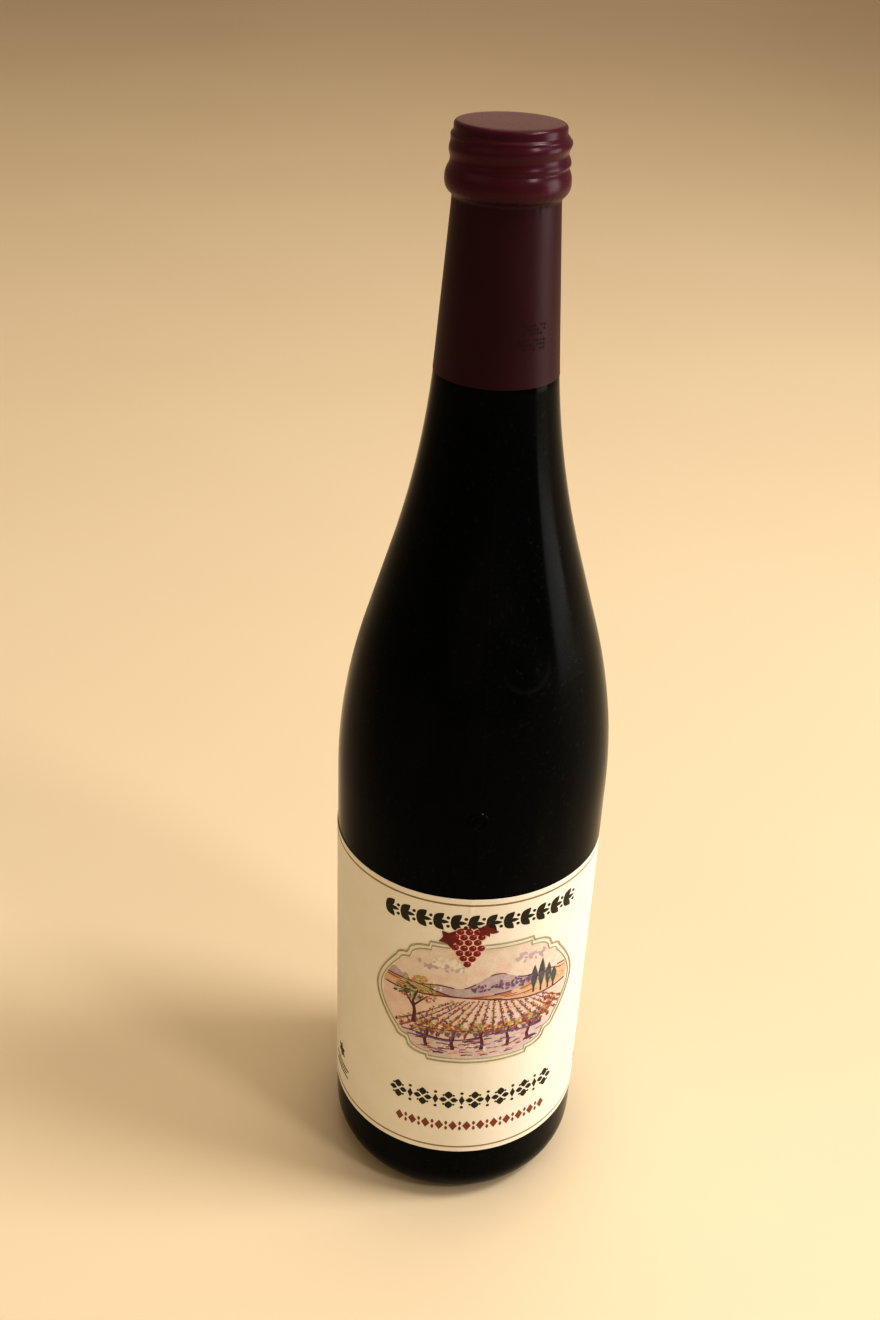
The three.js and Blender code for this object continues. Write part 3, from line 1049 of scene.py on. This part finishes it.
THREAD_TO = 313.4 * MM
THREAD_RUN_OUT = 1.2 * MM
FILLET_FROM = 299.2 * MM
FILLET_TURN = radians(-50)
FOOT_PULL = 0.75 * MM
HEAD_PULL = 0.8 * MM
BRIDGE_OVER = 0.4 * MM
BRIDGE_RUN = 1.6 * MM
PLEATS = 46
PLEATS_BELOW = 4 * MM
PLEAT_RISE = 0.045 * MM
PLEAT_SPREAD = 2.6 * MM
CAPSULE_SIDES = 184

skirt_top = BEAD_MIDDLE - BEAD_BELOW
film = Finish("dark_red_film", Specular_IOR_Level=0.22)
# The closure above the skirt gets a lighter base colour than the skirt, which is painted light from above;
# the same share makes the film there glossier.
closure_gloss_and_painted_light = film.between(film.along(film.place)[2], skirt_top, BEAD_MIDDLE)
peel = film.noise(700, 3, stretch=(1, 1, 0.5))
scuff = film.noise(60, 5, shift=(1, 4, 2))
rub = film.between(film.noise(1500, 4, stretch=(1, 1, 0.12), shift=(7, 0, 0)), 0.62, 0.8)
film.wear(
    Base_Color=film.blend(
        scuff * 0.8 + rub * 0.2,
        # the lighter closure colours here are painted light from above
        film.blend(closure_gloss_and_painted_light, (0.026, 0.0044, 0.0098), (0.056, 0.0092, 0.0205)),
        film.blend(closure_gloss_and_painted_light, (0.046, 0.0080, 0.0170), (0.084, 0.0150, 0.0310)),
    ),
    Roughness=scuff * 0.08 + rub * 0.06 + 0.37 - closure_gloss_and_painted_light * 0.14,
    Normal=film.bump(peel, 0.05 * MM, 0.25),
)

bead_core = BEAD_RADIUS - BEAD_DEPTH


def bead_radius(height):
    """The bead's section above its middle: part of an ellipse"""
    share = (height - BEAD_MIDDLE) / BEAD_ABOVE
    return bead_core + BEAD_DEPTH * sqrt(max(0.0, 1 - share * share))


def bridged(first, second, span):
    """The larger of two radii, with the film pulled taut over the corner between them"""
    return (first + second + hypot(first - second, span)) / 2


def eased(share):
    """Rises smoothly from 0 to 1 as the share does"""
    share = min(1.0, max(0.0, share))
    return share * share * (3 - 2 * share)


# the fillet from the neck into the bead's underside
underside = ellipse_arc(bead_core, BEAD_MIDDLE, BEAD_DEPTH, BEAD_BELOW, FILLET_TURN, 0, 16)
fillet_foot = Vector((wall_radius(FILLET_FROM) + FILM, FILLET_FROM))
fillet_head = Vector(underside[0])
foot_pull = Vector((-sin(NECK_LEAN), cos(NECK_LEAN))) * FOOT_PULL
head_run = Vector((-BEAD_DEPTH * sin(FILLET_TURN), BEAD_BELOW * cos(FILLET_TURN)))
head_pull = head_run.normalized() * HEAD_PULL
fillet = interpolate_bezier(fillet_foot, fillet_foot + foot_pull, fillet_head - head_pull, fillet_head, 16)
bead = [tuple(point) for point in fillet] + underside[1:]
barrel = []
for z in spaced(BEAD_MIDDLE, BARREL_TOP, 66)[1:]:
    span = BRIDGE_OVER * eased((z - BEAD_MIDDLE) / BRIDGE_RUN)
    barrel.append((bridged(bead_radius(z), BARREL_RADIUS, span), z))
ceiling = MOUTH_HEIGHT + OVER_MOUTH
bore_heights = spaced(ceiling, CAPSULE_BOTTOM + 1.5 * MM, 12)
bore = [(wall_radius(z) - UNDER_CAPSULE + FILM_CLEAR, z) for z in bore_heights]
edge_radius = wall_radius(CAPSULE_BOTTOM)
edge = [(edge_radius + 0.01 * MM, CAPSULE_BOTTOM), (edge_radius + FILM, CAPSULE_BOTTOM + 0.05 * MM)]
pleats_from = skirt_top - PLEATS_BELOW
skirt_heights = spaced(CAPSULE_BOTTOM + 0.6 * MM, pleats_from, 22)
skirt_heights += spaced(pleats_from, FILLET_FROM, 8)[1:-1]
skirt = [(wall_radius(z) + FILM, z) for z in skirt_heights]
step = []
for share in spaced(0, 1, 8)[1:]:
    narrowed = (BARREL_RADIUS - RIM_RADIUS) * (0.5 + 0.5 * cos(pi * share))
    step.append((RIM_RADIUS + narrowed, BARREL_TOP + (RIM_BOTTOM - BARREL_TOP) * share))
rim_core = RIM_RADIUS - RIM_ROUND
rim = ellipse_arc(rim_core, CLOSURE_TOP - RIM_ROUND, RIM_ROUND, RIM_ROUND, 0, pi / 2, 8)
top = [(r, CLOSURE_TOP) for r in spaced(rim_core, 0, 6)[1:]]
capsule_profile = [(0, ceiling), *bore, *edge, *skirt, *bead, *barrel, *step, *rim, *top]


def pleat(azimuth, height):
    """Faint upright folds where the film draws in under the bead, and none elsewhere"""
    near = exp(-(((height - skirt_top) / PLEAT_SPREAD) ** 2))
    return PLEAT_RISE * near * sin(azimuth * PLEATS) * sin(azimuth * 7 + 1)


thread_sizes = dict.fromkeys(("Pitch", "Rise", "Crest", "Low", "High"), float)
thread = Growth("thread_through_film", film.material, **thread_sizes)


def wave(low, high, phase):
    """Runs from low to high and back as its phase turns once"""
    return (thread.math("COSINE", phase) * 0.5 + 0.5) * (high - low) + low


def risen(height, low, high):
    """Rises smoothly from 0 at one height to 1 at another"""
    sockets = {"Value": height, "From Min": low, "From Max": high}
    return thread.add("ShaderNodeMapRange", {"interpolation_type": "SMOOTHSTEP"}, sockets)


px, py, pz = thread.along(thread.add("GeometryNodeInputPosition"))
azimuth = thread.math("ARCTAN2", px, py * -1)
turns = (pz - thread.given("Crest")) / thread.given("Pitch") - azimuth / tau
fullness = wave(THREAD_LEAST, 1, azimuth - THREAD_FULL_SIDE)
low, high = thread.given("Low"), thread.given("High")
run_in = risen(pz, low, low + THREAD_RUN_OUT)
run_out = risen(pz, high - THREAD_RUN_OUT, high)
radius = (px * px + py * py) ** 0.5
on_outside = thread.math("GREATER_THAN", radius, (RIM_RADIUS + BARREL_RADIUS) / 2)
full_rise = wave(0, thread.given("Rise"), turns * tau)
rise = full_rise * fullness * run_in * (1 - run_out) * on_outside / radius
outward = thread.add("ShaderNodeCombineXYZ", {}, {"X": px * rise, "Y": py * rise})
swelling = {"Geometry": thread.given("Base"), "Offset": outward}
thread.finish(thread.add("GeometryNodeSetPosition", {}, swelling))

capsule_azimuths = [tau * i / CAPSULE_SIDES for i in range(CAPSULE_SIDES)]
plain_capsule = turned("capsule", capsule_profile, capsule_azimuths, pleat)
capsule_mesh = grown(
    "capsule_thread", plain_capsule, thread.tree,
    Pitch=THREAD_PITCH, Rise=THREAD_HEIGHT, Crest=THREAD_CREST, Low=THREAD_FROM, High=THREAD_TO,
)
capsule = new_piece("capsule_film", capsule_mesh, film.material)
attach(capsule, "root")
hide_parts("capsule")

# Marks low on the capsule's front: two groups of small dull dots with gaps among them, which the filling
# line printed on the film. Each dot is a low closed disc that follows the film and stands a hair off it.
STAMP_AZIMUTH = radians(10)
STAMP_TOP = 273.3 * MM
STAMP_STEP = 0.98 * MM
DOT_RADIUS = 0.34 * MM
DOT_SIDES = 10
DOT_RISE = 0.05 * MM
DOT_SUNK = 0.06 * MM

stamp_finish = Finish("stamped_dots", Specular_IOR_Level=0.2)
stamp_grain = stamp_finish.noise(1800, 2)
stamp_finish.wear(
    Base_Color=stamp_finish.blend(stamp_grain, (0.017, 0.0045, 0.008), (0.026, 0.007, 0.012)),
    Roughness=stamp_grain * 0.2 + 0.5,
)
stamp_vertices, stamp_faces = [], []
for row, first, count in ((0, 1, 7), (1, 1, 7), (2, 1, 7), (3.6, 0, 8), (4.6, 0, 8), (5.6, 0, 8)):
    for column in range(first, first + count):
        if (int(row) * 3 + column * 2) % 5 == 0:
            continue
        middle_height = STAMP_TOP - row * STAMP_STEP
        start = len(stamp_vertices)
        for depth in (DOT_RISE, -DOT_SUNK):
            for x, y in disc(0, 0, DOT_RADIUS, DOT_SIDES):
                height = middle_height + y
                reach = wall_radius(height) + FILM + depth
                here = STAMP_AZIMUTH + (column * STAMP_STEP + x) / reach
                stamp_vertices.append(round_axis(reach, here, height))
        stamp_faces.append([start + i for i in range(DOT_SIDES)])
        stamp_faces.append([start + 2 * DOT_SIDES - 1 - i for i in range(DOT_SIDES)])
        for i in range(DOT_SIDES):
            a, b = start + i, start + (i + 1) % DOT_SIDES
            stamp_faces.append([b, a, a + DOT_SIDES, b + DOT_SIDES])
stamp_mesh = new_mesh("stamped_dots", stamp_vertices, stamp_faces)
stamp = new_piece("stamped_dots", stamp_mesh, stamp_finish.material)
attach(stamp, "root")
